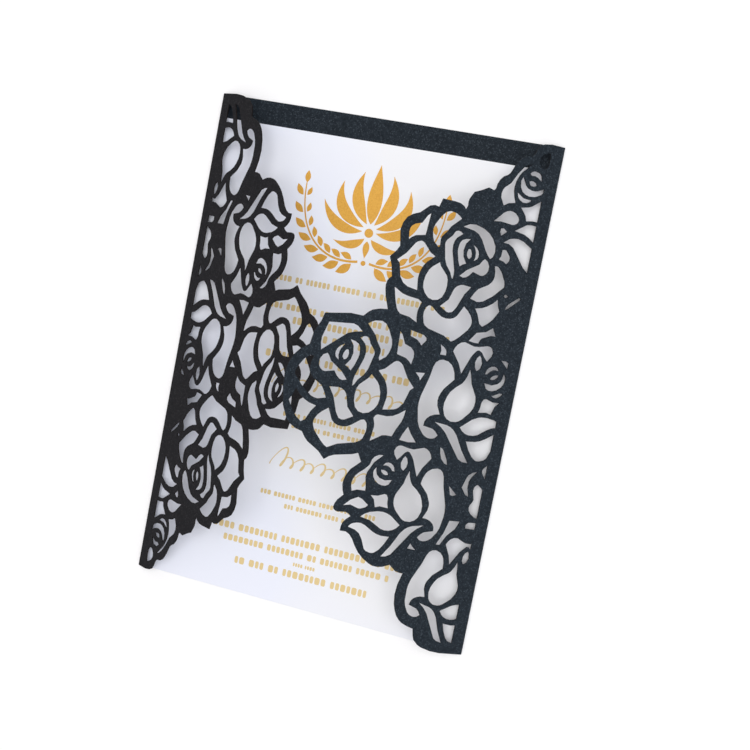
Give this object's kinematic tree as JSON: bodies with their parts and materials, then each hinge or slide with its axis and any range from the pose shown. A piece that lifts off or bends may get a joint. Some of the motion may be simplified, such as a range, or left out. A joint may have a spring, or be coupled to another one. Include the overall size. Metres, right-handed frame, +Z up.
{
  "type": "laser-cut invitation",
  "caption": "Flat card insert lying in a gatefold wrap whose two raised flaps are cut into a lattice of roses and buds.",
  "frame": {"origin": "middle of the back panel's underside, on the surface it lies on", "axes": "+Y towards the head of the card, along the creases; +Z up out of the card's face; +X to the reader's right"},
  "size_m": [0.127, 0.178, 0.0526],
  "materials": {
    "wrap_card": "charcoal pearlescent card, satin",
    "insert_card": "white pearl card, satin"
  },
  "bodies": {
    "root": {"gatefold_wrap": "wrap_card", "insert_card": "insert_card"}
  },
  "joints": []
}
